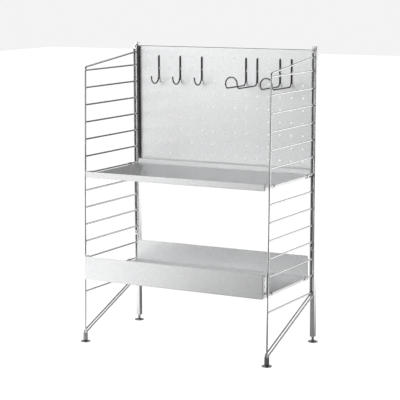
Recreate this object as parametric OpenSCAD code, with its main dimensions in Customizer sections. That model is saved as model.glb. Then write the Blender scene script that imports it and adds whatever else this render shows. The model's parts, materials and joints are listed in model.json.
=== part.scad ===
// Free-standing wire-ladder rack with a pegboard back, a low shelf, a deep tray and wire hooks.
// Millimetres. +X is the user's right, the front faces -Y, the floor is z = 0.
// The origin is the centre of the rack's footprint.

/* [Ladders] */
// Distance between the centre planes of the two wire ladders
ladder_w = 596; // [500:1:900]
// Diameter of the ladder wire
wire_d = 5; // [5:0.5:6]
// Number of rungs in each ladder
rung_count = 14; // [12:1:16]
// Vertical pitch of the rungs
rung_pitch = 50; // [50:1:60]
// Height of the top rung
top_rung_z = 801.6; // [790:0.1:960]
// Depth from front rod to rear legs at the top rung
ladder_depth = 281.5; // [270:0.5:340]
// How far each front rod leans forward over one metre of height
front_lean = 24.8; // [0:0.1:30]
// Height of the rounded top front corner
corner_z = 811; // [805:1:990]
// Height at which the sloping top wire meets the rear legs
slope_end_z = 841; // [835:1:1000]

/* [Rear posts] */
// Width of the post tube, left to right
post_w = 14; // [14:1:20]
// Depth of the post tube, front to back
post_d = 16; // [16:1:25]
// Wall of the post tube
post_wall = 1.5; // [1:0.1:2]
// Height of the open post top
post_top_z = 870; // [866:1:1100]
// Height of the post's lower end
post_low_z = 17; // [16:1:24]
// Height of the upper ladder screws
upper_screw_z = 857.5; // [854:0.5:1000]
// Height of the lower ladder screws
lower_screw_z = 281; // [270:1:300]

/* [Pegboard] */
// Pitch of the holes in the pegboard, shelf and tray
hole_pitch = 37; // [30:0.5:40]
// Diameter of those holes
hole_d = 5; // [5:0.1:6]
// Columns of holes in the pegboard
board_cols = 15; // [9:2:15]
// Rows of holes in the pegboard
board_rows = 9; // [5:1:9]
// Height of the top row of holes
board_row_z = 830; // [820:1:835]
// Board edge beyond the first and last row
board_margin = 30; // [26:1:30]
// Thickness of all sheet metal
sheet_t = 1.5; // [1.2:0.1:2]

/* [Shelf and tray] */
// Width of the shelf and the tray
shelf_w = 580; // [480:1:580]
// Depth of the shelf and the tray
shelf_d = 302; // [296:1:302]
// Rung that carries the shelf, counted from the top
shelf_rung = 7; // [5:1:9]
// Rung that carries the tray, counted from the top
tray_rung = 13; // [11:1:13]
// Height of the shelf's front edge above its floor
shelf_front = 8.5; // [6:0.5:20]
// Height of the shelf's rear edge above its floor
shelf_rear = 14; // [6:0.5:30]
// Height of the tray's front wall above its floor
tray_front = 60; // [40:1:90]
// Height of the tray's rear wall above its floor
tray_rear = 62; // [40:1:90]
// Depth of the edges below the floor
edge_drop = 9.5; // [8:0.5:12]

/* [Hooks] */
// Diameter of the hook wire
hook_d = 4; // [3:0.1:4]
// Inner radius of the J hook's throat, measured at the wire's centre
j_radius = 22; // [12:1:30]
// Height of the J hook's stem
j_stem = 60; // [40:1:90]
// Height of the double hook's stems
double_stem = 79; // [50:1:100]
// Reach of the double hook in front of the board
double_reach = 128; // [60:1:140]

/* [Feet] */
// Diameter of the foot pads
pad_d = 30; // [24:1:36]
// Diameter of the foot stems
stem_d = 8; // [6:0.5:8]

/* [Hidden] */
$fn = 64;

wire_r = wire_d / 2;
half_w = ladder_w / 2;
rod_slope = front_lean / 1000;
rod_angle = atan(rod_slope);
sleeve_top_z = 26;
// Centre line of the rear legs, with the origin midway between the front and rear feet.
legs_y = (ladder_depth + (top_rung_z - sleeve_top_z) * rod_slope - wire_r - post_d / 2) / 2;
post_face_y = legs_y + wire_r;
post_y = post_face_y + post_d / 2;

sleeve_d = 14;
sleeve_low_z = 6.5;
sleeve_y = rod_y(sleeve_top_z);
sleeve_bore_d = stem_d + 0.1;

diagonal_rear_z = 145;                   // where the diagonal's line crosses the legs' line
diagonal_front_z = 31;                   // where it crosses the sleeve's line
diagonal_angle = atan((diagonal_rear_z - diagonal_front_z) / (legs_y - sleeve_y));
rear_bend_r = 15;
front_bend_r = 6;
corner_bend_r = 9;
wire_end_y = post_face_y - 0.5;          // rung ends stop just short of the post
bend_swell = 0.02;                       // a bend is this much fatter than the straight wire
bend_lap = 0.15;                         // a straight run reaches this far into its bend

screw_d = 4.9;
head_d = 9.5;
head_h = 2.8;
washer_d = 13;
washer_t = 1;
socket_af = 3;
nut_d = 7;
nut_len = 9;
screw_gap = 0.05;                        // thread clearance on the radius
hole_gap = 0.4;                          // how much wider a plain screw hole is

board_half_w = half_w - post_w / 2;
board_face_y = legs_y + 12.25;
board_rear_y = post_face_y + post_d + sheet_t;
board_fold = board_rear_y - board_face_y;
ear_w = 12;
ear_h = 24;
board_top_z = board_row_z + board_margin;
board_low_z = board_row_z - (board_rows - 1) * hole_pitch - board_margin;
board_screw_edge = 40;                   // from the board's top and bottom to its outer screws
board_screw_z = [board_low_z + board_screw_edge, (board_low_z + board_top_z) / 2,
                 board_top_z - board_screw_edge];
board_screw_d = 3.9;
board_head_d = 7;
board_head_h = 2.2;
board_socket_af = 2.5;
board_nut_d = 5.5;
board_nut_len = 8;

upper_shelf_y = legs_y - 150.5;
lower_tray_y = legs_y - 161.5;
floor_drop = 1.6;                        // a shelf floor lies this far under its rung's centre
tab_spread = 110;                        // hook tabs sit this far from the middle
tab_w = 9;
tab_gap = 0.3;                           // air between a tab and its rung
tab_leg = 5;                             // how far a tab drops outside its rung
plain_side = 12;                         // plain floor beside the outer holes, at least
plain_front = 25;                        // plain floor before the first row of holes, at least
end_hole_y = 12;                         // end holes lie this far behind the front wall
end_hole_top = 8;                        // and stop this far below its top
lip_return = 22;                         // depth of the end returns of a front wall
side_drop = 9;
corner_r = 5;

hook_r = hook_d / 2;
hook_line_y = board_face_y - hook_r - 0.3; // centre line of the hook stems
hook_bend_r = 3;
tail_y = board_face_y + sheet_t + hook_r + 2.7;
tail_h = 7;
arm_bend_r = 14;
j_hook_cols = [2, 4, 6];
double_hook_cols = [10, 13];

pad_rim = 2.2;
pad_h = 6;
pad_seat_z = 2;                          // the stem's end sits this far above the floor
stem_gap = 0.2;                          // between the pad and the stem's thread
stem_top_z = 40;
insert_len = 24;
waist_d = 7;

function rung_z(n) = top_rung_z - (n - 1) * rung_pitch;
function rod_y(z) = legs_y - ladder_depth - (top_rung_z - z) * rod_slope;
function past(p, q) = q + bend_lap * (q - p) / norm(q - p);
function col_x(n) = (n - (board_cols + 1) / 2) * hole_pitch;

// A straight round wire between two points of the same x plane.
module wire_run(p, q, d = wire_d) {
    v = q - p;
    translate(p)
        rotate([-atan2(v[1], v[2]), 0, 0])
            cylinder(h = norm(v), d = d);
}

// A bend in the y-z plane: centre at p, from angle a0 over sweep degrees, angles from +Y towards +Z.
module wire_bend(p, r, a0, sweep, d = wire_d) {
    translate(p)
        rotate([90, 0, 90])
            rotate([0, 0, a0])
                rotate_extrude(angle = sweep)
                    translate([r, 0])
                        circle(d = d + 2 * bend_swell);
}

// Front rod, rounded top corner and sloping top wire of one ladder, in the plane x = 0.
module front_rod() {
    slope = atan((slope_end_z - corner_z) / (legs_y - rod_y(corner_z)));
    corner = [0, rod_y(corner_z), corner_z];
    turn = 90 - slope - rod_angle;
    cut = corner_bend_r * tan(turn / 2);
    below = corner + cut * [0, -sin(rod_angle), -cos(rod_angle)];
    beyond = corner + cut * [0, cos(slope), sin(slope)];
    centre = below + corner_bend_r * [0, cos(rod_angle), -sin(rod_angle)];
    low = [0, rod_y(sleeve_top_z), sleeve_top_z];
    wire_end = [0, wire_end_y, corner_z + (wire_end_y - corner[1]) * tan(slope)];
    union() {
        wire_run(low, past(low, below));
        wire_bend(centre, corner_bend_r, 90 + slope, turn);
        wire_run(past(wire_end, beyond), wire_end);
    }
}

// All rungs of one ladder, each welded to the front rod with a saddled end.
module rungs() {
    for (n = [1 : rung_count])
        difference() {
            wire_run([0, rod_y(rung_z(n)), rung_z(n)], [0, wire_end_y, rung_z(n)]);
            wire_run([0, rod_y(rung_z(n) - 20), rung_z(n) - 20], [0, rod_y(rung_z(n) + 20), rung_z(n) + 20]);
        }
}

// The rear wire: a U over the top screw, two legs down the post, then the diagonal to the front foot.
module hairpin() {
    a = diagonal_angle;
    rear_cut = rear_bend_r * tan((90 - a) / 2);
    front_cut = front_bend_r * tan((90 - a) / 2);
    run = [0, -cos(a), -sin(a)];
    knee = [0, legs_y, diagonal_rear_z];
    ankle = [0, sleeve_y, diagonal_front_z];
    knee_top = knee + [0, 0, rear_cut];
    knee_low = knee + rear_cut * run;
    ankle_top = ankle - front_cut * run;
    ankle_low = ankle - [0, 0, front_cut];
    leg_top = [0, legs_y, upper_screw_z];
    union() {
        translate([0, legs_y, upper_screw_z])
            rotate([90, 0, 0])
                rotate_extrude(angle = 180)
                    translate([wire_d, 0])
                        circle(d = wire_d + 2 * bend_swell);
        for (side = [-1, 1])
            translate([side * wire_d, 0, 0]) {
                wire_run(past(leg_top, knee_top), past(knee_top, leg_top));
                wire_bend(knee_top - [0, rear_bend_r, 0], rear_bend_r, a - 90, 90 - a);
                wire_run(past(knee_low, ankle_top), past(ankle_top, knee_low));
                wire_bend(ankle_low + [0, front_bend_r, 0], front_bend_r, 90 + a, 90 - a);
                wire_run([0, sleeve_y, sleeve_top_z], past([0, sleeve_y, sleeve_top_z], ankle_low));
            }
    }
}

// Round sleeve under the front wires, threaded for the foot.
module front_sleeve() {
    translate([0, sleeve_y, 0])
        difference() {
            translate([0, 0, sleeve_low_z])
                cylinder(h = sleeve_top_z - sleeve_low_z, d = sleeve_d);
            translate([0, 0, sleeve_low_z - 1])
                cylinder(h = sleeve_top_z - sleeve_low_z - 2, d = sleeve_bore_d);
        }
}

// Rear post: a rectangular tube with holes for the ladder screws and the pegboard screws.
module post() {
    difference() {
        translate([-post_w / 2, post_face_y, post_low_z])
            cube([post_w, post_d, post_top_z - post_low_z]);
        translate([-post_w / 2 + post_wall, post_face_y + post_wall, post_low_z - 1])
            cube([post_w - 2 * post_wall, post_d - 2 * post_wall, post_top_z - post_low_z + 2]);
        for (z = [lower_screw_z, upper_screw_z])
            translate([0, post_face_y - 1, z])
                rotate([-90, 0, 0])
                    cylinder(h = post_wall + 2, d = nut_d);
        for (z = board_screw_z)
            translate([0, post_face_y + post_d + 1, z])
                rotate([90, 0, 0])
                    cylinder(h = post_wall + 2, d = board_nut_d);
    }
}

// Threaded plug pressed into the post's lower end.
module post_insert() {
    translate([0, post_y, 0])
        difference() {
            translate([-post_w / 2 + post_wall, -post_d / 2 + post_wall, post_low_z])
                cube([post_w - 2 * post_wall, post_d - 2 * post_wall, insert_len]);
            translate([0, 0, post_low_z - 1])
                cylinder(h = insert_len + 2, d = sleeve_bore_d);
        }
}

// Button-head screw with a hexagon socket, pointing along +Z from its bearing face.
module button_screw(d, len, d_head, h_head, af) {
    difference() {
        union() {
            rotate([180, 0, 0])
                rotate_extrude()
                    polygon([[0, 0], [d_head / 2, 0], [d_head / 2, h_head * 0.35],
                             [d_head * 0.4, h_head * 0.75], [d_head * 0.27, h_head], [0, h_head]]);
            cylinder(h = len, d = d);
        }
        translate([0, 0, -h_head - 1])
            cylinder(h = h_head * 0.6 + 1, d = af / cos(30), $fn = 6);
    }
}

// Places its child at the four ladder screws, on the washer's front face.
module at_ladder_screws() {
    for (side = [-1, 1], z = [lower_screw_z, upper_screw_z])
        translate([side * half_w, legs_y - wire_r - bend_swell, z])
            rotate([-90, 0, 0])
                children();
}

module ladder_screw() {
    translate([0, 0, -washer_t])
        button_screw(screw_d, washer_t + wire_d + nut_len, head_d, head_h, socket_af);
}

module ladder_washer() {
    translate([0, 0, -washer_t])
        difference() {
            cylinder(h = washer_t, d = washer_d);
            translate([0, 0, -1])
                cylinder(h = washer_t + 2, d = screw_d + hole_gap);
        }
}

// Rivet nut set in the post's front wall.
module ladder_rivet_nut() {
    translate([0, 0, wire_d + bend_swell])
        difference() {
            cylinder(h = nut_len, d = nut_d);
            translate([0, 0, -1])
                cylinder(h = nut_len + 2, d = screw_d + 2 * screw_gap);
        }
}

// Places its child at the six pegboard screws, pointing forward through a board ear into the post.
module at_board_screws() {
    for (side = [-1, 1], z = board_screw_z)
        translate([side * half_w, board_rear_y, z])
            rotate([90, 0, 0])
                children();
}

module board_screw() {
    button_screw(board_screw_d, sheet_t + board_nut_len, board_head_d, board_head_h, board_socket_af);
}

module board_rivet_nut() {
    translate([0, 0, sheet_t])
        difference() {
            cylinder(h = board_nut_len, d = board_nut_d);
            translate([0, 0, -1])
                cylinder(h = board_nut_len + 2, d = board_screw_d + 2 * screw_gap);
        }
}

// Pegboard: a perforated sheet with all four edges folded back and ears that lie behind the posts.
module pegboard_sheet() {
    board_h = board_top_z - board_low_z;
    difference() {
        union() {
            difference() {
                translate([-board_half_w, board_face_y, board_low_z])
                    cube([2 * board_half_w, board_fold, board_h]);
                translate([-board_half_w + sheet_t, board_face_y + sheet_t, board_low_z + sheet_t])
                    cube([2 * (board_half_w - sheet_t), board_fold, board_h - 2 * sheet_t]);
            }
            for (side = [-1, 1], z = board_screw_z)
                translate([side * (board_half_w - sheet_t / 2 + ear_w / 2), board_rear_y - sheet_t / 2, z])
                    cube([ear_w + sheet_t, sheet_t, ear_h], center = true);
        }
        for (i = [1 : board_cols], j = [0 : board_rows - 1])
            translate([col_x(i), board_face_y - 1, board_row_z - j * hole_pitch])
                rotate([-90, 0, 0])
                    cylinder(h = sheet_t + 2, d = hole_d, $fn = 24);
        for (side = [-1, 1], z = board_screw_z)
            translate([side * half_w, board_rear_y + 1, z])
                rotate([90, 0, 0])
                    cylinder(h = sheet_t + 2, d = board_screw_d + hole_gap);
    }
}

// A hook tab: rises from the sheet's end, passes over the rung and drops outside it.
// Profile in x-z around the rung's centre; side 1 is the right end.
module hook_tab(floor_z, rung_h) {
    inner = wire_r + tab_gap;
    outer = inner + sheet_t;
    reach = half_w - shelf_w / 2;
    rotate([90, 0, 0])
        linear_extrude(height = tab_w, center = true)
            union() {
                difference() {
                    circle(r = outer);
                    circle(r = inner);
                    translate([-outer - 1, -2 * outer])
                        square([2 * outer + 2, 2 * outer]);
                }
                translate([inner, -tab_leg])
                    square([sheet_t, tab_leg]);
                translate([-outer, floor_z - rung_h - sheet_t])
                    square([sheet_t, rung_h - floor_z + sheet_t]);
                translate([-reach - sheet_t, floor_z - rung_h - sheet_t])
                    square([reach + sheet_t - inner, sheet_t]);
            }
}

// A perforated shelf: floor, front and rear walls with end returns, folded sides and four hook tabs.
module shelf_sheet(rung_h, front_h, rear_h, middle_y) {
    floor_z = rung_h - floor_drop;
    front_y = middle_y - shelf_d / 2;
    rear_y = middle_y + shelf_d / 2;
    low_z = floor_z - edge_drop;
    cols = floor((shelf_w - 2 * plain_side) / hole_pitch) + 1;
    rows = floor((shelf_d - 2 * plain_front) / hole_pitch) + 1;
    difference() {
        union() {
            translate([-shelf_w / 2, front_y, floor_z - sheet_t])
                cube([shelf_w, shelf_d, sheet_t]);
            translate([-shelf_w / 2, front_y, low_z])
                cube([shelf_w, sheet_t, edge_drop + front_h]);
            rear_wall(rear_y - sheet_t, low_z, floor_z + rear_h);
            for (side = [-1, 1]) {
                mirror([side < 0 ? 1 : 0, 0, 0]) {
                    translate([shelf_w / 2 - sheet_t, front_y, low_z])
                        cube([sheet_t, lip_return, edge_drop + front_h]);
                    translate([shelf_w / 2 - sheet_t, front_y, floor_z - side_drop])
                        cube([sheet_t, shelf_d, side_drop]);
                    for (y = [-tab_spread, tab_spread])
                        translate([half_w, middle_y + y, rung_h])
                            hook_tab(floor_z, rung_h);
                }
            }
        }
        for (i = [0 : cols - 1], j = [0 : rows - 1])
            translate([(i - (cols - 1) / 2) * hole_pitch, middle_y + (j - (rows - 1) / 2) * hole_pitch,
                       floor_z - sheet_t - 1])
                cylinder(h = sheet_t + 2, d = hole_d, $fn = 24);
        for (z = [floor_z + hole_pitch / 6 : hole_pitch / 2 : floor_z + front_h - end_hole_top])
            translate([-shelf_w / 2 - 1, front_y + end_hole_y, z])
                rotate([0, 90, 0])
                    cylinder(h = shelf_w + 2, d = hole_d, $fn = 24);
    }
}

// The rear wall across a shelf, with its two top corners rounded.
module rear_wall(y, low, high) {
    translate([0, y + sheet_t, 0])
        rotate([90, 0, 0])
            linear_extrude(height = sheet_t)
                difference() {
                    translate([-shelf_w / 2, low])
                        square([shelf_w, high - low]);
                    for (side = [-1, 1])
                        translate([side * (shelf_w / 2 - corner_r), high - corner_r])
                            difference() {
                                translate([side > 0 ? 0 : -corner_r - 1, 0])
                                    square([corner_r + 1, corner_r + 1]);
                                circle(r = corner_r);
                            }
                }
}

// The part of a hook that passes through the board, with its up-turned tail and the front stem.
module hook_shank(stem) {
    top = [0, hook_line_y + hook_bend_r, board_row_z];
    wire_run([0, hook_line_y, board_row_z - stem], [0, hook_line_y, board_row_z - hook_bend_r], hook_d);
    wire_bend([0, hook_line_y + hook_bend_r, board_row_z - hook_bend_r], hook_bend_r, 90, 90, hook_d);
    wire_run(top, [0, tail_y - hook_bend_r, board_row_z], hook_d);
    wire_bend([0, tail_y - hook_bend_r, board_row_z + hook_bend_r], hook_bend_r, -90, 90, hook_d);
    wire_run([0, tail_y, board_row_z + hook_bend_r], [0, tail_y, board_row_z + tail_h], hook_d);
}

// J hook: the stem runs into a half circle that ends in a rounded tip.
module j_hook(col) {
    low_z = board_row_z - j_stem;
    translate([col_x(col), 0, 0])
        union() {
            hook_shank(j_stem);
            wire_bend([0, hook_line_y - j_radius, low_z], j_radius, 180, 180, hook_d);
            translate([0, hook_line_y - 2 * j_radius, low_z])
                sphere(r = hook_r);
        }
}

// Double hook: two stems bend into arms that reach forward and join in an upright arch.
module double_hook(col) {
    arm_z = board_row_z - double_stem;
    front_y = hook_line_y - double_reach;
    stem = double_stem - arm_bend_r;
    union() {
        for (x = [col_x(col), col_x(col + 1)])
            translate([x, 0, 0]) {
                hook_shank(stem);
                wire_bend([0, hook_line_y - arm_bend_r, arm_z + arm_bend_r], arm_bend_r, -90, 90, hook_d);
                wire_run([0, front_y + arm_bend_r, arm_z], [0, hook_line_y - arm_bend_r, arm_z], hook_d);
                wire_bend([0, front_y + arm_bend_r, arm_z + arm_bend_r], arm_bend_r, 180, 90, hook_d);
            }
        translate([(col_x(col) + col_x(col + 1)) / 2, front_y, arm_z + arm_bend_r])
            rotate([90, 0, 0])
                rotate_extrude(angle = 180)
                    translate([hole_pitch / 2, 0])
                        circle(d = hook_d);
    }
}

// Foot pad: a low domed disc with a flat underside.
module foot_pad(y) {
    translate([0, y, 0])
        difference() {
            rotate_extrude()
                polygon([[0, 0], [pad_d / 2 - 0.8, 0], [pad_d / 2, 0.8], [pad_d / 2, pad_rim],
                         [pad_d / 2 - 2, pad_rim + 1.4], [stem_d / 2 + 2, pad_h], [0, pad_h]]);
            translate([0, 0, pad_seat_z])
                cylinder(h = pad_h, d = waist_d);
        }
}

// Foot stem: a threaded bar with a plain waist seated in the pad.
module foot_stem(y, top) {
    translate([0, y, 0])
        union() {
            translate([0, 0, pad_seat_z])
                cylinder(h = pad_h, d = waist_d);
            translate([0, 0, pad_h + stem_gap])
                cylinder(h = top - pad_h - stem_gap, d = stem_d);
        }
}

module left_front_rod() { color("silver") translate([-half_w, 0, 0]) front_rod(); }
module right_front_rod() { color("silver") translate([half_w, 0, 0]) front_rod(); }
module left_rungs() { color("gainsboro") translate([-half_w, 0, 0]) rungs(); }
module right_rungs() { color("gainsboro") translate([half_w, 0, 0]) rungs(); }
module left_hairpin() { color("silver") translate([-half_w, 0, 0]) hairpin(); }
module right_hairpin() { color("silver") translate([half_w, 0, 0]) hairpin(); }
module left_front_sleeve() { color("gray") translate([-half_w, 0, 0]) front_sleeve(); }
module right_front_sleeve() { color("gray") translate([half_w, 0, 0]) front_sleeve(); }
module left_post() { color("darkgray") translate([-half_w, 0, 0]) mirror([1, 0, 0]) post(); }
module right_post() { color("darkgray") translate([half_w, 0, 0]) post(); }
module left_post_insert() { color("dimgray") translate([-half_w, 0, 0]) post_insert(); }
module right_post_insert() { color("dimgray") translate([half_w, 0, 0]) post_insert(); }
module ladder_screws() { color("whitesmoke") at_ladder_screws() ladder_screw(); }
module ladder_washers() { color("whitesmoke") at_ladder_screws() ladder_washer(); }
module ladder_rivet_nuts() { color("gold") at_ladder_screws() ladder_rivet_nut(); }
module pegboard() { color("lightgray") pegboard_sheet(); }
module pegboard_screws() { color("whitesmoke") at_board_screws() board_screw(); }
module pegboard_rivet_nuts() { color("gold") at_board_screws() board_rivet_nut(); }
module upper_shelf() {
    color("lightgray") shelf_sheet(rung_z(shelf_rung), shelf_front, shelf_rear, upper_shelf_y);
}
module lower_tray() {
    color("lightgray") shelf_sheet(rung_z(tray_rung), tray_front, tray_rear, lower_tray_y);
}
module left_front_pad() { color("gray") translate([-half_w, 0, 0]) foot_pad(sleeve_y); }
module left_front_stem() { color("dimgray") translate([-half_w, 0, 0]) foot_stem(sleeve_y, sleeve_top_z - 4); }
module right_front_pad() { color("gray") translate([half_w, 0, 0]) foot_pad(sleeve_y); }
module right_front_stem() { color("dimgray") translate([half_w, 0, 0]) foot_stem(sleeve_y, sleeve_top_z - 4); }
module left_rear_pad() { color("gray") translate([-half_w, 0, 0]) foot_pad(post_y); }
module left_rear_stem() { color("dimgray") translate([-half_w, 0, 0]) foot_stem(post_y, stem_top_z); }
module right_rear_pad() { color("gray") translate([half_w, 0, 0]) foot_pad(post_y); }
module right_rear_stem() { color("dimgray") translate([half_w, 0, 0]) foot_stem(post_y, stem_top_z); }
module j_hook_1() { color([0.25, 0.25, 0.27]) j_hook(j_hook_cols[0]); }
module j_hook_2() { color([0.25, 0.25, 0.27]) j_hook(j_hook_cols[1]); }
module j_hook_3() { color([0.25, 0.25, 0.27]) j_hook(j_hook_cols[2]); }
module double_hook_1() { color([0.25, 0.25, 0.27]) double_hook(double_hook_cols[0]); }
module double_hook_2() { color([0.25, 0.25, 0.27]) double_hook(double_hook_cols[1]); }

left_front_rod();
right_front_rod();
left_rungs();
right_rungs();
left_hairpin();
right_hairpin();
left_front_sleeve();
right_front_sleeve();
left_post();
right_post();
left_post_insert();
right_post_insert();
ladder_screws();
ladder_washers();
ladder_rivet_nuts();
pegboard();
pegboard_screws();
pegboard_rivet_nuts();
upper_shelf();
lower_tray();
left_front_pad();
left_front_stem();
right_front_pad();
right_front_stem();
left_rear_pad();
left_rear_stem();
right_rear_pad();
right_rear_stem();
j_hook_1();
j_hook_2();
j_hook_3();
double_hook_1();
double_hook_2();
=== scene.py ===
import json
import math
import random

import bmesh
import bpy
from mathutils import Matrix, Vector


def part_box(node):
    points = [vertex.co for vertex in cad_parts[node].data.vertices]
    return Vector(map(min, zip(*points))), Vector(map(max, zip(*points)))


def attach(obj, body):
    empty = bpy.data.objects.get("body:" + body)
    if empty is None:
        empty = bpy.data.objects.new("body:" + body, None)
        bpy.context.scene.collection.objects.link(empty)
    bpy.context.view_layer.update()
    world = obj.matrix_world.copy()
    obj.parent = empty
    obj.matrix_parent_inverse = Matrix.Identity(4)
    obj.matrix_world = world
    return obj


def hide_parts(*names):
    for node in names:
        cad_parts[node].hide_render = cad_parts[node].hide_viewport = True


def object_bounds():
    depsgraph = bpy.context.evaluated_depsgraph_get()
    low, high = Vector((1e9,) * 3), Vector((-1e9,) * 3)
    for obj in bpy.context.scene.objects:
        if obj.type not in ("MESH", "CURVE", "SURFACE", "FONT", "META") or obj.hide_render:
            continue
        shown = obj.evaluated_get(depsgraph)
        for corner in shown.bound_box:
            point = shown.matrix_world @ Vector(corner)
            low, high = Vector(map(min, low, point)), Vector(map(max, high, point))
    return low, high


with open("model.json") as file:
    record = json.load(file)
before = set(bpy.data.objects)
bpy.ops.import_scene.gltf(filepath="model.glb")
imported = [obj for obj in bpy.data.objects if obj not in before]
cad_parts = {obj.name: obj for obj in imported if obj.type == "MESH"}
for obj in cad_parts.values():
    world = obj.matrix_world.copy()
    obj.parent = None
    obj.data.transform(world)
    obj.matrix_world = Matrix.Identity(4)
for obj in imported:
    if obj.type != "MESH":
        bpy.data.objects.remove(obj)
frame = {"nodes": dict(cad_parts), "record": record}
nodes = frame["nodes"]
cadLow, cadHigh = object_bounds()
mm = 0.001
right, back, up = Vector((1, 0, 0)), Vector((0, 1, 0)), Vector((0, 0, 1))


# metals

def addNode(tree, kind, **inputs):
    node = tree.nodes.new(kind)
    for name, value in inputs.items():
        node.inputs[name].default_value = value
    return node


def metal(name, look):
    material = bpy.data.materials.new(name)
    material.use_nodes = True
    tree, link = material.node_tree, material.node_tree.links.new
    shader = tree.nodes["Principled BSDF"]
    shader.inputs["Metallic"].default_value = look["metallic"]
    shader.inputs["IOR"].default_value = 1.5
    where = tree.nodes.new("ShaderNodeTexCoord")
    place = tree.nodes.new("ShaderNodeMapping")
    place.inputs["Scale"].default_value = look.get("stretch", (1, 1, 1))
    link(where.outputs["Object"], place.inputs["Vector"])

    crystals = addNode(tree, "ShaderNodeTexVoronoi", Scale=look["crystals"], Randomness=1.0)
    clouds = addNode(tree, "ShaderNodeTexNoise", Scale=look["clouds"], Detail=4.0, Roughness=0.6)
    grain = addNode(tree, "ShaderNodeTexNoise", Scale=look["grain"], Detail=3.0, Roughness=0.7)
    for texture in (crystals, clouds, grain):
        link(place.outputs["Vector"], texture.inputs["Vector"])
    cell = tree.nodes.new("ShaderNodeSeparateColor")
    link(crystals.outputs["Color"], cell.inputs["Color"])

    mottle = tree.nodes.new("ShaderNodeMix")            # zinc crystals over broad clouds
    mottle.inputs["Factor"].default_value = look["crystalShare"]
    link(clouds.outputs["Fac"], mottle.inputs["A"])
    link(cell.outputs["Red"], mottle.inputs["B"])
    tint = tree.nodes.new("ShaderNodeMix")
    tint.data_type = "RGBA"
    tint.inputs["A"].default_value = (*look["dark"], 1)
    tint.inputs["B"].default_value = (*look["light"], 1)
    link(mottle.outputs["Result"], tint.inputs["Factor"])
    link(tint.outputs["Result"], shader.inputs["Base Color"])

    smooth, rough = look["roughness"]
    gloss = addNode(tree, "ShaderNodeMapRange", **{"To Min": smooth, "To Max": rough})
    link(mottle.outputs["Result"], gloss.inputs["Value"])
    link(gloss.outputs["Result"], shader.inputs["Roughness"])

    relief = addNode(tree, "ShaderNodeBump", Strength=look["relief"], Distance=0.2 * mm)
    link(grain.outputs["Fac"], relief.inputs["Height"])
    link(relief.outputs["Normal"], shader.inputs["Normal"])
    return material


finishes = {
    "galvanisedSheet": metal("galvanised sheet", {
        "dark": (0.66, 0.665, 0.67), "light": (0.80, 0.805, 0.81), "metallic": 0.85, "roughness": (0.40, 0.50),
        "crystals": 260, "clouds": 9, "grain": 700, "crystalShare": 0.45, "relief": 0.12}),
    "zincWire": metal("zinc wire", {
        "dark": (0.62, 0.625, 0.63), "light": (0.80, 0.805, 0.81), "metallic": 1.0, "roughness": (0.16, 0.26),
        "crystals": 500, "clouds": 30, "grain": 1600, "crystalShare": 0.2, "relief": 0.05}),
    "postTube": metal("post tube", {
        "dark": (0.52, 0.525, 0.53), "light": (0.72, 0.725, 0.73), "metallic": 1.0, "roughness": (0.20, 0.32),
        "crystals": 300, "clouds": 16, "grain": 900, "crystalShare": 0.3, "relief": 0.06,
        "stretch": (1, 1, 0.12)}),
    "hookWire": metal("dark polished wire", {
        "dark": (0.10, 0.10, 0.105), "light": (0.17, 0.17, 0.175), "metallic": 1.0, "roughness": (0.10, 0.18),
        "crystals": 500, "clouds": 60, "grain": 2000, "crystalShare": 0.1, "relief": 0.04}),
    "brightZinc": metal("bright zinc", {
        "dark": (0.78, 0.785, 0.79), "light": (0.90, 0.90, 0.90), "metallic": 1.0, "roughness": (0.18, 0.28),
        "crystals": 900, "clouds": 120, "grain": 3000, "crystalShare": 0.2, "relief": 0.05}),
    "yellowZinc": metal("yellow zinc", {
        "dark": (0.55, 0.47, 0.28), "light": (0.72, 0.64, 0.42), "metallic": 1.0, "roughness": (0.22, 0.34),
        "crystals": 900, "clouds": 120, "grain": 3000, "crystalShare": 0.3, "relief": 0.05}),
    "darkZinc": metal("dark zinc", {
        "dark": (0.24, 0.245, 0.25), "light": (0.36, 0.365, 0.37), "metallic": 1.0, "roughness": (0.20, 0.32),
        "crystals": 600, "clouds": 80, "grain": 2200, "crystalShare": 0.25, "relief": 0.08}),
    "turnedSteel": metal("turned steel", {
        "dark": (0.42, 0.425, 0.43), "light": (0.60, 0.605, 0.61), "metallic": 1.0, "roughness": (0.14, 0.24),
        "crystals": 900, "clouds": 90, "grain": 2600, "crystalShare": 0.2, "relief": 0.05}),
    "blackNylon": metal("black nylon", {
        "dark": (0.015, 0.015, 0.016), "light": (0.03, 0.03, 0.032), "metallic": 0.0, "roughness": (0.5, 0.62),
        "crystals": 900, "clouds": 90, "grain": 3000, "crystalShare": 0.2, "relief": 0.2}),
}

slotFinish = {
    "galvanised_wire": "zincWire", "galvanised_sheet": "galvanisedSheet", "post_steel": "postTube",
    "hook_steel": "hookWire", "screw_steel": "brightZinc", "rivet_nut_steel": "yellowZinc",
    "sleeve_steel": "darkZinc", "foot_steel": "turnedSteel", "insert_plastic": "blackNylon"}

for part in frame["record"]["subparts"]:
    slots = nodes[part["node"]].material_slots
    for cadSlot in slots:
        cadSlot.material = finishes[slotFinish[part["material_slot"]]]
print("finishes on every node:", len(finishes))


# mesh helpers

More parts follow.
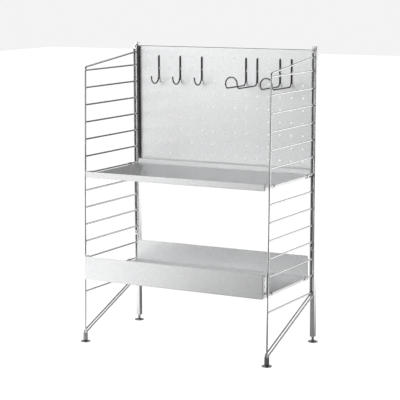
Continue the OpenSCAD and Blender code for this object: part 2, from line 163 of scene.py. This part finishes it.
def placePiece(name, bm, slot, body, replaced, thickness=0.0, edgeRound=0.3 * mm):
    mesh = bpy.data.meshes.new(name)
    bmesh.ops.recalc_face_normals(bm, faces=bm.faces)
    for face in bm.faces:
        face.smooth = True
    bm.to_mesh(mesh)
    bm.free()
    piece = bpy.data.objects.new(name, mesh)
    bpy.context.scene.collection.objects.link(piece)
    mesh.materials.append(finishes[slotFinish[slot]])
    if thickness:
        sheet = piece.modifiers.new("sheet thickness", "SOLIDIFY")
        sheet.thickness = thickness
        sheet.offset = 0
        sheet.use_even_offset = True
    if edgeRound:
        rounding = piece.modifiers.new("edge rounding", "BEVEL")
        rounding.width = edgeRound
        rounding.segments = 2
        rounding.limit_method = "ANGLE"
        rounding.angle_limit = math.radians(40)
        shading = piece.modifiers.new("flat faces stay flat", "WEIGHTED_NORMAL")
        shading.keep_sharp = True
    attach(piece, body)
    if replaced:
        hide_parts(*replaced)
    return piece


def perforated(bm, point, uCuts, vCuts, holes, holeRadius, firstColumn=None):
    # a flat panel cut into cells; holes maps a cell to its hole's centre
    grid = [[bm.verts.new(point(u, v)) for v in vCuts] for u in uCuts[1:]]
    grid.insert(0, firstColumn or [bm.verts.new(point(uCuts[0], v)) for v in vCuts])
    sides = 24
    for i in range(len(uCuts) - 1):
        for j in range(len(vCuts) - 1):
            corners = [grid[i][j], grid[i + 1][j], grid[i + 1][j + 1], grid[i][j + 1]]
            if (i, j) not in holes:
                bm.faces.new(corners)
                continue
            u, v = holes[i, j]
            turns = [math.tau * (k / sides - 0.5) for k in range(sides)]
            ring = [bm.verts.new(point(u + holeRadius * math.cos(t), v + holeRadius * math.sin(t)))
                    for t in turns]
            for k in range(4):                          # four faces meet the hole, one per side of the cell
                first = sides // 8 + k * sides // 4
                arc = [ring[(first + step) % sides] for step in range(sides // 4 + 1)]
                bm.faces.new([corners[k], corners[(k + 1) % 4], *reversed(arc)])
    return grid


def bentPath(moves, outward, upward, steps=5):
    # numbers go straight on, (degrees, radius) pairs bend; plus bends towards upward
    here, heading, points = Vector((0, 0)), 0.0, []
    for move in moves:
        if isinstance(move, tuple):
            turn, radius = math.radians(move[0]), move[1]
            side = math.copysign(1, turn)
            centre = here + side * radius * Vector((-math.sin(heading), math.cos(heading)))
            count = steps if abs(move[0]) < 100 else 2 * steps
            for k in range(1, count + 1):
                angle = heading + turn * k / count
                points.append(centre - side * radius * Vector((-math.sin(angle), math.cos(angle))))
            heading += turn
        else:
            points.append(here + move * Vector((math.cos(heading), math.sin(heading))))
        here = points[-1]
    return [outward * p.x + upward * p.y for p in points]


def sweepEdge(bm, edge, path):
    # one row of faces per step of the path; returns the rows
    rows = [edge] + [[bm.verts.new(v.co + step) for v in edge] for step in path]
    for low, high in zip(rows, rows[1:]):
        for k in range(len(edge) - 1):
            bm.faces.new((low[k], low[k + 1], high[k + 1], high[k]))
    return rows


def edgeStrip(bm, inner, offset, cuts, along):
    # one flat face beside a panel, with its outer vertices only at the cuts
    start = inner[0].co + offset
    outer = [bm.verts.new(start + along * (cut - inner[0].co.dot(along))) for cut in cuts]
    bm.faces.new([*inner, *reversed(outer)])
    return outer


def between(row, axis, low, high):
    return [v for v in row if low - 0.01 * mm < v.co.dot(axis) < high + 0.01 * mm]


holeGrid = {"pitch": 37 * mm, "radius": 2.5 * mm, "sheet": 1.5 * mm, "bend": 1.25 * mm}


# pegboard

board = {"columns": 15, "rows": 9, "topRow": 830 * mm, "fold": 7.75 * mm, "ear": (24 * mm, 12 * mm),
         "screwInset": 40 * mm, "screwHole": 2.15 * mm}


def makePegboard():
    pitch, sheet, bend = holeGrid["pitch"], holeGrid["sheet"], holeGrid["bend"]
    inset = sheet / 2 + bend
    low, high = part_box("pegboard")
    postLow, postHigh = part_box("right_post")
    halfWidth = postLow.x                                # the board fits between the posts
    faceY = low.y + sheet / 2
    bm = bmesh.new()
    holes = {}
    columnX = [(i - (board["columns"] - 1) / 2) * pitch for i in range(board["columns"])]
    rowZ = [board["topRow"] - (board["rows"] - 1 - j) * pitch for j in range(board["rows"])]
    uCuts = [x - pitch / 2 for x in columnX] + [columnX[-1] + pitch / 2]
    vCuts = [low.z + inset] + [z - pitch / 2 for z in rowZ] + [rowZ[-1] + pitch / 2, high.z - inset]
    for i, x in enumerate(columnX):
        for j, z in enumerate(rowZ):
            holes[i, j + 1] = (x, z)
    grid = perforated(bm, lambda u, v: Vector((u, faceY, v)), uCuts, vCuts, holes, holeGrid["radius"])

    earHalf, earReach = board["ear"][0] / 2, board["ear"][1]
    earZ = [low.z + board["screwInset"], (low.z + high.z) / 2, high.z - board["screwInset"]]
    cuts = [vCuts[0]] + [z + s * earHalf for z in earZ for s in (-1, 1)] + [vCuts[-1]]
    flangeTurn = board["fold"] - sheet / 2 - bend        # depth at which an ear bends outward
    sideEdges = []
    for side, column in ((-1, grid[0]), (1, grid[-1])):
        offset = right * (side * (halfWidth - inset) - column[0].co.x)
        outer = edgeStrip(bm, column, offset, cuts, up)
        sideEdges.append(outer)
        path = bentPath([(90, bend), flangeTurn - sheet / 2 - bend], right * side, back)
        flange = sweepEdge(bm, outer, path)[-1]
        for k in range(0, len(cuts), 2):                 # plain stretches of the flange
            sweepEdge(bm, flange[k:k + 2], [back * (board["fold"] - flangeTurn)])
        for k in range(1, len(cuts) - 1, 2):             # ears behind the post, each with a screw hole
            root = sweepEdge(bm, flange[k:k + 2], bentPath([(-90, bend)], back, right * side))[-1]
            rootX, y, z = root[0].co.x, root[0].co.y, (cuts[k] + cuts[k + 1]) / 2
            screwX = side * (postLow.x + postHigh.x) / 2
            perforated(bm, lambda u, v: Vector((u, y, v)), [rootX, side * (halfWidth + earReach)],
                       [cuts[k], cuts[k + 1]], {(0, 0): (screwX, z)}, board["screwHole"], root)
    for level, row in ((-1, 0), (1, -1)):
        edge = [sideEdges[0][row], *[column[row] for column in grid], sideEdges[1][row]]
        sweepEdge(bm, edge, bentPath([(90, bend), board["fold"] - sheet / 2 - bend], up * level, back))
    return placePiece("pegboard_sheet", bm, "galvanised_sheet", "frame", ["pegboard"], sheet)


makePegboard()
print("pegboard done")


# shelf and tray

shelves = {
    "upper_shelf": {"body": "shelf", "rung": 7, "front": 8.5 * mm, "rear": 14 * mm},
    "lower_tray": {"body": "tray", "rung": 13, "front": 60 * mm, "rear": 62 * mm},
}
shelfShape = {"columns": 16, "rows": 7, "halfWidth": 290 * mm, "floorDrop": 1.6 * mm,
              "edgeDrop": 9.5 * mm, "sideDrop": 9 * mm, "returnGap": 2 * mm,
              "hem": 0.95 * mm, "endReturn": 22 * mm, "corner": 5 * mm, "outerStrip": 284 * mm,
              "tabPlace": 110 * mm, "tabHalf": 4.5 * mm, "notchHalf": 7 * mm, "tabLeg": 5 * mm,
              "endHoleBack": 12 * mm, "endHoleFloor": 37 / 6 * mm, "endHoleTop": 8 * mm, "endHoleCell": 6 * mm}
ladder = {"topRung": 801.6 * mm, "pitch": 50 * mm, "wire": 5 * mm, "tabGap": 0.3 * mm,
          "depth": 281.5 * mm, "lean": 24.8 * mm}        # the front rod's lean over one metre of height


def roundTop(bm, row, height, radius, halfWidth):
    # the last band of a wall, with its two upper corners rounded
    top = [bm.verts.new((v.co.x, v.co.y, height)) for v in row]
    for end, side in ((0, -1), (-1, 1)):
        top[end].co.x = side * (halfWidth - radius)
    for k in range(1, len(row) - 2):
        bm.faces.new((row[k], row[k + 1], top[k + 1], top[k]))
    for end, near, side in ((0, 1, -1), (-1, -2, 1)):
        centre = Vector((side * (halfWidth - radius), row[0].co.y, height - radius))
        turns = [math.radians(90 - 90 * k / 6) for k in range(1, 6)]
        arc = [bm.verts.new(centre + radius * Vector((side * math.cos(t), 0, math.sin(t)))) for t in turns]
        bm.faces.new([row[end], row[near], top[near], top[end], *arc])


def makeShelf(node, shape):
    pitch, sheet, bend = holeGrid["pitch"], holeGrid["sheet"], holeGrid["bend"]
    hem = shelfShape["hem"]
    low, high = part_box(node)
    postLow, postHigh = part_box("right_post")
    rungX = (postLow.x + postHigh.x) / 2
    rungZ = ladder["topRung"] - (shape["rung"] - 1) * ladder["pitch"]
    floorTop = rungZ - shelfShape["floorDrop"]
    floorZ = floorTop - sheet / 2
    halfWidth = shelfShape["halfWidth"]
    sideX = halfWidth - sheet / 2 - bend
    middleY = (low.y + high.y) / 2
    wallGap = sheet / 2 + 2 * hem + bend                 # from a wall's outer face to the floor's edge
    bm = bmesh.new()

    columnX = [(i - (shelfShape["columns"] - 1) / 2) * pitch for i in range(shelfShape["columns"])]
    rowY = [middleY + (j - (shelfShape["rows"] - 1) / 2) * pitch for j in range(shelfShape["rows"])]
    uCuts = [-shelfShape["outerStrip"]] + [x + pitch / 2 for x in columnX[:-1]] + [shelfShape["outerStrip"]]
    vCuts = [low.y + wallGap] + [y - pitch / 2 for y in rowY] + [rowY[-1] + pitch / 2, high.y - wallGap]
    holes = {(i, j + 1): (x, y) for i, x in enumerate(columnX) for j, y in enumerate(rowY)}
    grid = perforated(bm, lambda u, v: Vector((u, v, floorZ)), uCuts, vCuts, holes, holeGrid["radius"])

    # folded sides with a hook tab at each end of both rungs
    tabs = [middleY - shelfShape["tabPlace"], middleY + shelfShape["tabPlace"]]
    foldStart, foldEnd = low.y + shelfShape["endReturn"] + shelfShape["returnGap"], high.y - wallGap
    cuts = sorted([vCuts[0], foldStart, foldEnd] + [t + s * shelfShape[half] for t in tabs
                  for half in ("tabHalf", "notchHalf") for s in (-1, 1)])
    loop = ladder["wire"] / 2 + ladder["tabGap"] + sheet / 2
    ends = []
    for side, column in ((-1, grid[0]), (1, grid[-1])):
        outer = edgeStrip(bm, column, right * (side * sideX - column[0].co.x), cuts, back)
        ends.append(outer)
        notch = shelfShape["notchHalf"]
        folds = ((foldStart, tabs[0] - notch), (tabs[0] + notch, tabs[1] - notch), (tabs[1] + notch, foldEnd))
        for first, last in folds:
            edge = between(outer, back, first, last)
            drop = shelfShape["sideDrop"] - sheet / 2 - bend
            sweepEdge(bm, edge, bentPath([(-90, bend), drop], right * side, up))
        for t in tabs:
            edge = between(outer, back, t - shelfShape["tabHalf"], t + shelfShape["tabHalf"])
            moves = [rungX - loop - sideX - bend, (90, bend), rungZ - floorZ - bend, (-180, loop),
                     shelfShape["tabLeg"]]
            sweepEdge(bm, edge, bentPath(moves, right * side, up, 8))

    # front and rear walls: down, round a hem and up again
    wallLow = floorTop - shelfShape["edgeDrop"] + sheet / 2 + hem
    drop = floorZ - bend - wallLow
    for facing, row, height in ((-1, 0, shape["front"]), (1, -1, shape["rear"])):
        wallTop = floorTop + height
        edge = [ends[0][row], *[column[row] for column in grid], ends[1][row]]
        holeZ = []
        levels = [wallTop]
        if facing < 0:
            space = height - shelfShape["endHoleTop"] - shelfShape["endHoleFloor"]
            holeCount = int(space / (pitch / 2) + 1) if height > pitch else 0
            holeZ = [floorTop + shelfShape["endHoleFloor"] + k * pitch / 2 for k in range(holeCount)]
            levels = [z - pitch / 4 for z in holeZ] + ([holeZ[-1] + pitch / 4] if holeZ else []) + [wallTop]
        else:
            levels = [wallTop - shelfShape["corner"]]
        rises = [b - a for a, b in zip([wallLow] + levels, levels)]
        path = bentPath([(-90, bend), drop, (180, hem), *rises], back * facing, up)
        rows = sweepEdge(bm, edge, path)
        wall = rows[-1 - len(rises):]
        if facing > 0:
            for band in wall:
                band[0].co.x, band[-1].co.x = -halfWidth, halfWidth
            roundTop(bm, wall[-1], wallTop, shelfShape["corner"], halfWidth)
            continue
        for side, end in ((-1, 0), (1, -1)):             # the front wall's end returns
            edge = [band[end] for band in wall]
            turned = sweepEdge(bm, edge, bentPath([(90, bend)], right * side, back))[-1]
            x, y0 = turned[0].co.x, turned[0].co.y
            holeY = low.y + shelfShape["endHoleBack"]
            cell = shelfShape["endHoleCell"]
            columns = [y0, holeY - cell, holeY + cell, low.y + shelfShape["endReturn"]]
            endHoles = {(1, k + 1): (holeY, z) for k, z in enumerate(holeZ)}
            perforated(bm, lambda u, v: Vector((x, u, v)), columns, [wallLow, *levels], endHoles,
                       holeGrid["radius"], turned)
    return placePiece(node + "_sheet", bm, "galvanised_sheet", shape["body"], [node], sheet)


for node, shape in shelves.items():
    makeShelf(node, shape)
print("shelf and tray done")


# posts

post = {"outerRound": 2.2 * mm, "innerRound": 0.9 * mm, "wall": 1.5 * mm}


def roundedLoop(bm, centre, halfX, halfY, radius, z, steps=5):
    loop = []
    for quarter in range(4):
        sx, sy = ((1, 1), (-1, 1), (-1, -1), (1, -1))[quarter]
        corner = Vector((centre.x + sx * (halfX - radius), centre.y + sy * (halfY - radius), z))
        for k in range(steps + 1):
            t = math.radians(90 * quarter + 90 * k / steps)
            loop.append(bm.verts.new(corner + radius * Vector((math.cos(t), math.sin(t), 0))))
    return loop


def joinLoops(bm, first, second):
    for k in range(len(first)):
        n = (k + 1) % len(first)
        bm.faces.new((first[k], first[n], second[n], second[k]))


def makePost(node):
    low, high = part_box(node)
    middle, half = (low + high) / 2, (high - low) / 2
    bm = bmesh.new()
    outer = [roundedLoop(bm, middle, half.x, half.y, post["outerRound"], z) for z in (low.z, high.z)]
    inner = [roundedLoop(bm, middle, half.x - post["wall"], half.y - post["wall"], post["innerRound"], z)
             for z in (low.z, high.z)]
    joinLoops(bm, outer[0], outer[1])
    joinLoops(bm, inner[1], inner[0])
    joinLoops(bm, inner[0], outer[0])
    joinLoops(bm, outer[1], inner[1])
    return placePiece(node + "_tube", bm, "post_steel", "frame", [node], edgeRound=0.25 * mm)


for node in ("left_post", "right_post"):
    makePost(node)
print("posts done")


# feet

foot = {"threadPitch": 1.25 * mm, "threadDepth": 0.65 * mm, "sides": 28, "perTurn": 6,
        "threadStart": 6.2 * mm, "waist": 3.4 * mm, "waistLap": 0.4 * mm, "bore": 3.7 * mm,
        "boreFloor": 2.2 * mm}


def lathe(bm, centre, profile, sides=56):
    rings = []
    for radius, z in profile:
        turns = [math.tau * k / sides for k in range(sides)]
        ring = [Vector((radius * math.cos(t), radius * math.sin(t), z)) for t in turns]
        rings.append([bm.verts.new(centre + place) for place in ring])
    for low, high in zip(rings, rings[1:]):
        joinLoops(bm, low, high)
    return rings


def makeFootPad(corner):
    low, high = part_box(corner + "_pad")
    middle = (low + high) / 2
    centre = Vector((middle.x, middle.y, 0))
    radius, height = (high.x - low.x) / 2, high.z
    bm = bmesh.new()
    profile = [(radius - 1.0 * mm, 0), (radius, 0.8 * mm), (radius, 2.0 * mm), (radius - 0.9 * mm, 2.9 * mm),
               (radius - 4 * mm, 3.4 * mm), (radius - 7.4 * mm, 4.2 * mm),
               (radius - 8.6 * mm, height - 0.5 * mm),
               (radius - 9.4 * mm, height), (foot["bore"], height), (foot["bore"], foot["boreFloor"])]
    rings = lathe(bm, centre, profile)
    bm.faces.new(list(reversed(rings[0])))
    bm.faces.new(rings[-1])
    return placePiece(corner + "_foot_pad", bm, "foot_steel", corner + "_foot", [corner + "_pad"],
                      edgeRound=0.35 * mm)


def makeFootStem(corner):
    low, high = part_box(corner + "_stem")
    middle = (low + high) / 2
    radius, start = (high.x - low.x) / 2, foot["threadStart"]
    rows = int((high.z - start) / foot["threadPitch"] * foot["perTurn"])
    profileRows = []
    bm = bmesh.new()
    for row in range(rows + 1):
        z = start + (high.z - start) * row / rows
        ring = []
        for k in range(foot["sides"]):
            phase = (z / foot["threadPitch"] - k / foot["sides"]) % 1.0
            depth = foot["threadDepth"] * (1 - abs(2 * phase - 1)) * min(1, row / 4, (rows - row) / 4 + 0.25)
            r, t = radius - depth, math.tau * k / foot["sides"]
            ring.append(bm.verts.new((middle.x + r * math.cos(t), middle.y + r * math.sin(t), z)))
        profileRows.append(ring)
    for a, b in zip(profileRows, profileRows[1:]):
        joinLoops(bm, a, b)
    bm.faces.new(profileRows[-1])
    bm.faces.new(list(reversed(profileRows[0])))
    waistLine = [(foot["waist"], low.z), (foot["waist"], start + foot["waistLap"])]
    waist = lathe(bm, Vector((middle.x, middle.y, 0)), waistLine, foot["sides"])
    bm.faces.new(list(reversed(waist[0])))
    return placePiece(corner + "_foot_screw", bm, "foot_steel", corner + "_foot", [corner + "_stem"],
                      edgeRound=0)


for corner in ("left_front", "right_front", "left_rear", "right_rear"):
    makeFootPad(corner)
    makeFootStem(corner)
print("feet done")


# weld beads

weld = {"size": (1.5 * mm, 1.9 * mm, 1.5 * mm), "jitter": 0.18, "seed": 7, "proud": 0.2 * mm,
        "rodPlace": 0.42, "legPlace": 0.36}              # distance from the rung's centre, in wire diameters


def makeWelds(side):
    random.seed(weld["seed"])
    bm = bmesh.new()
    low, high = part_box(side + "_rungs")
    rodLow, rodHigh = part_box(side + "_front_rod")
    legLow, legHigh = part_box(side + "_hairpin")
    x = (low.x + high.x) / 2
    wire = ladder["wire"]
    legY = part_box(side + "_post")[0].y - wire / 2
    count = round((high.z - wire - low.z) / ladder["pitch"]) + 1
    rodTopY = legY - ladder["depth"]
    for n in range(count):
        z = ladder["topRung"] - n * ladder["pitch"]
        rodY = rodTopY - (ladder["topRung"] - z) * ladder["lean"] / (1000 * mm)
        beadY = rodY + wire / 2 + weld["proud"]
        spots = [(x, beadY, z + s * wire * weld["rodPlace"]) for s in (-1, 1)]
        spots += [(x + s * wire * weld["rodPlace"], beadY, z) for s in (-1, 1)]
        spots += [(x + s * wire / 2, legY, z + v * wire * weld["legPlace"]) for s in (-1, 1) for v in (-1, 1)]
        for spot in spots:
            scale = [s * random.uniform(1 - weld["jitter"], 1 + weld["jitter"]) for s in weld["size"]]
            place = Matrix.Translation(spot) @ Matrix.Diagonal((*scale, 1))
            bmesh.ops.create_icosphere(bm, subdivisions=2, radius=1, matrix=place)
    return placePiece(side + "_ladder_welds", bm, "galvanised_wire", "frame", [], edgeRound=0)


for side in ("left", "right"):
    makeWelds(side)
print("welds done")


# floor, light and camera
studio = {"floorFront": -1.1, "floorBack": 14.0, "floorSide": 10.0, "floorColor": (0.86, 0.86, 0.86),
          "white": 0.9, "room": 0.02, "walls": ((0, 0.1), (45, 0.7), (225, 0.2), (315, 0.35)), "wallTilt": 0.08,
          "wallEdge": (0.5, 0.95)}                       # how near its direction a wall starts and is full

# pools of light on the floor, which only the metal reflects: x and y run from dark to full, in metres
floorPools = ({"x": (-0.05, -0.55), "y": (0.25, 0.05), "glow": 1.4},
              {"x": (0.2, 0.9), "y": (0.05, 0.25), "glow": 1.8})

softboxes = {"left softbox": {"place": (-2.0, -2.7, 1.1), "size": 1.6, "power": 17},
             "high softbox": {"place": (-1.0, -3.2, 2.0), "size": 1.6, "power": 30},
             "low softbox": {"place": (-0.9, -1.5, 0.35), "size": 0.7, "power": 1.5}}


def calculate(tree, operation, first, second):
    node = tree.nodes.new("ShaderNodeMath")
    node.operation = operation
    for socket, value in zip(node.inputs, (first, second)):
        if isinstance(value, (int, float)):
            socket.default_value = value
        else:
            tree.links.new(value, socket)
    return node.outputs["Value"]


def fade(tree, value, start, end, height):
    node = addNode(tree, "ShaderNodeMapRange", **{"From Min": start, "From Max": end, "To Max": height})
    node.interpolation_type = "SMOOTHSTEP"
    tree.links.new(value, node.inputs["Value"])
    return node.outputs["Result"]


def whiteBehind(tree, glow, strength):
    # the camera sees plain white, and the metal sees the studio
    seen = tree.nodes.new("ShaderNodeLightPath")
    pick = tree.nodes.new("ShaderNodeMix")
    pick.inputs["B"].default_value = studio["white"]
    tree.links.new(seen.outputs["Is Camera Ray"], pick.inputs["Factor"])
    tree.links.new(glow, pick.inputs["A"])
    tree.links.new(pick.outputs["Result"], strength)


def makeFloor():
    bm = bmesh.new()
    side, front, far = studio["floorSide"], studio["floorFront"], studio["floorBack"]
    corners = ((-side, front, 0), (side, front, 0), (side, far, 0), (-side, far, 0))
    bm.faces.new([bm.verts.new(corner) for corner in corners])
    mesh = bpy.data.meshes.new("studio floor")
    bm.to_mesh(mesh)
    bm.free()
    floor = bpy.data.objects.new("studio floor", mesh)
    bpy.context.scene.collection.objects.link(floor)
    material = bpy.data.materials.new("pale floor")
    material.use_nodes = True
    tree = material.node_tree
    shader = tree.nodes["Principled BSDF"]
    shader.inputs["Base Color"].default_value = (*studio["floorColor"], 1)
    shader.inputs["Roughness"].default_value = 0.9
    shader.inputs["Specular IOR Level"].default_value = 0.1
    shader.inputs["Emission Color"].default_value = (1, 1, 1, 1)
    where = tree.nodes.new("ShaderNodeTexCoord")
    axes = tree.nodes.new("ShaderNodeSeparateXYZ")
    tree.links.new(where.outputs["Object"], axes.inputs["Vector"])
    glow = 0.0
    for pool in floorPools:
        across = fade(tree, axes.outputs["X"], *pool["x"], pool["glow"])
        along = fade(tree, axes.outputs["Y"], *pool["y"], 1.0)
        glow = calculate(tree, "ADD", calculate(tree, "MULTIPLY", across, along), glow)
    whiteBehind(tree, glow, shader.inputs["Emission Strength"])
    mesh.materials.append(material)


def makeWorld():
    world = bpy.data.worlds.new("studio")
    bpy.context.scene.world = world
    world.use_nodes = True
    tree = world.node_tree
    sky = tree.nodes["Background"]
    sky.inputs["Color"].default_value = (1, 1, 1, 1)
    where = tree.nodes.new("ShaderNodeTexCoord")
    shade = studio["room"]
    for azimuth, brightness in studio["walls"]:          # pale walls round a dim room, 0 degrees is behind
        toward = tree.nodes.new("ShaderNodeVectorMath")
        toward.operation = "DOT_PRODUCT"
        turn = math.radians(azimuth)
        direction = Vector((math.sin(turn), math.cos(turn), studio["wallTilt"]))
        toward.inputs[1].default_value = direction.normalized()
        tree.links.new(where.outputs["Generated"], toward.inputs[0])
        wall = fade(tree, toward.outputs["Value"], *studio["wallEdge"], brightness)
        shade = calculate(tree, "ADD", wall, shade)
    whiteBehind(tree, shade, sky.inputs["Strength"])


def makeLight(name, box):
    data = bpy.data.lights.new(name, "AREA")
    data.size = box["size"]
    data.energy = box["power"]
    lamp = bpy.data.objects.new(name, data)
    bpy.context.scene.collection.objects.link(lamp)
    aim = (cadLow + cadHigh) / 2
    lamp.location = box["place"]
    lamp.rotation_euler = (aim - lamp.location).to_track_quat("-Z", "Y").to_euler()
    lamp.visible_camera = False


camera = {"azimuth": 28.455, "elevation": 8.898, "roll": -0.117, "distance": 4.2814,
          "target": (1.8 * mm, 4.4 * mm, 424 * mm), "lens": 132.0, "sensor": 36}


def makeCamera():
    azimuth, elevation, roll = (math.radians(camera[k]) for k in ("azimuth", "elevation", "roll"))
    towards = Vector((math.sin(azimuth) * math.cos(elevation), -math.cos(azimuth) * math.cos(elevation),
                      math.sin(elevation)))
    side = Vector((math.cos(azimuth), math.sin(azimuth), 0))
    top = towards.cross(side)
    x = math.cos(roll) * side + math.sin(roll) * top
    y = towards.cross(x)
    data = bpy.data.cameras.new("camera")
    data.lens = camera["lens"]
    data.sensor_width = camera["sensor"]
    eye = bpy.data.objects.new("camera", data)
    bpy.context.scene.collection.objects.link(eye)
    turn = Matrix((x, y, towards)).transposed().to_4x4()
    eye.matrix_world = Matrix.Translation(Vector(camera["target"]) + towards * camera["distance"]) @ turn
    bpy.context.scene.camera = eye


makeFloor()
makeWorld()
for name, box in softboxes.items():
    makeLight(name, box)
makeCamera()
bpy.context.scene.view_settings.view_transform = "Standard"
print("studio done")
